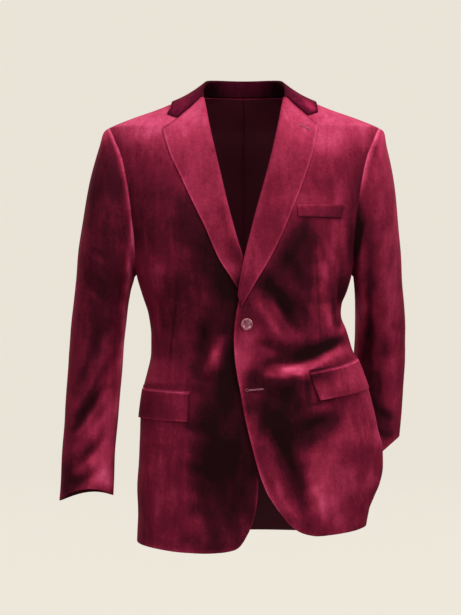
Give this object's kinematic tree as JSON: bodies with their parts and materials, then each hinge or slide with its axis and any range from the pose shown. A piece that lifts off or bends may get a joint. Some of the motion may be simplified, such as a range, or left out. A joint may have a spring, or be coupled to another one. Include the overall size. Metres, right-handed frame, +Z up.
{
  "type": "sport coat",
  "caption": "Burgundy velvet sport coat with notch lapels, flap pockets and a buttoned front, hollow and filled out as worn.",
  "frame": {"origin": "middle of the neck opening, level with the neck end of the shoulder seams, where the wearer holds the coat up", "axes": "+X to the wearer's left, +Y to the back, +Z up along the back"},
  "size_m": [0.592, 0.2879, 0.794],
  "materials": {
    "cotton_velvet": "cut pile, soft sheen",
    "dyed_button": "polished"
  },
  "bodies": {
    "root": {"front_right": "cotton_velvet", "side_body_right": "cotton_velvet", "back_right": "cotton_velvet", "lapel_right": "cotton_velvet", "under_sleeve_right": "cotton_velvet", "upper_sleeve_right": "cotton_velvet", "fore_sleeve_right": "cotton_velvet", "flap_right": "cotton_velvet", "jet_right": "cotton_velvet", "front_left": "cotton_velvet", "side_body_left": "cotton_velvet", "back_left": "cotton_velvet", "lapel_left": "cotton_velvet", "under_sleeve_left": "cotton_velvet", "upper_sleeve_left": "cotton_velvet", "fore_sleeve_left": "cotton_velvet", "flap_left": "cotton_velvet", "jet_left": "cotton_velvet", "collar": "cotton_velvet", "breast_welt": "cotton_velvet", "button_upper": "dyed_button", "button_lower": "dyed_button"}
  },
  "joints": []
}
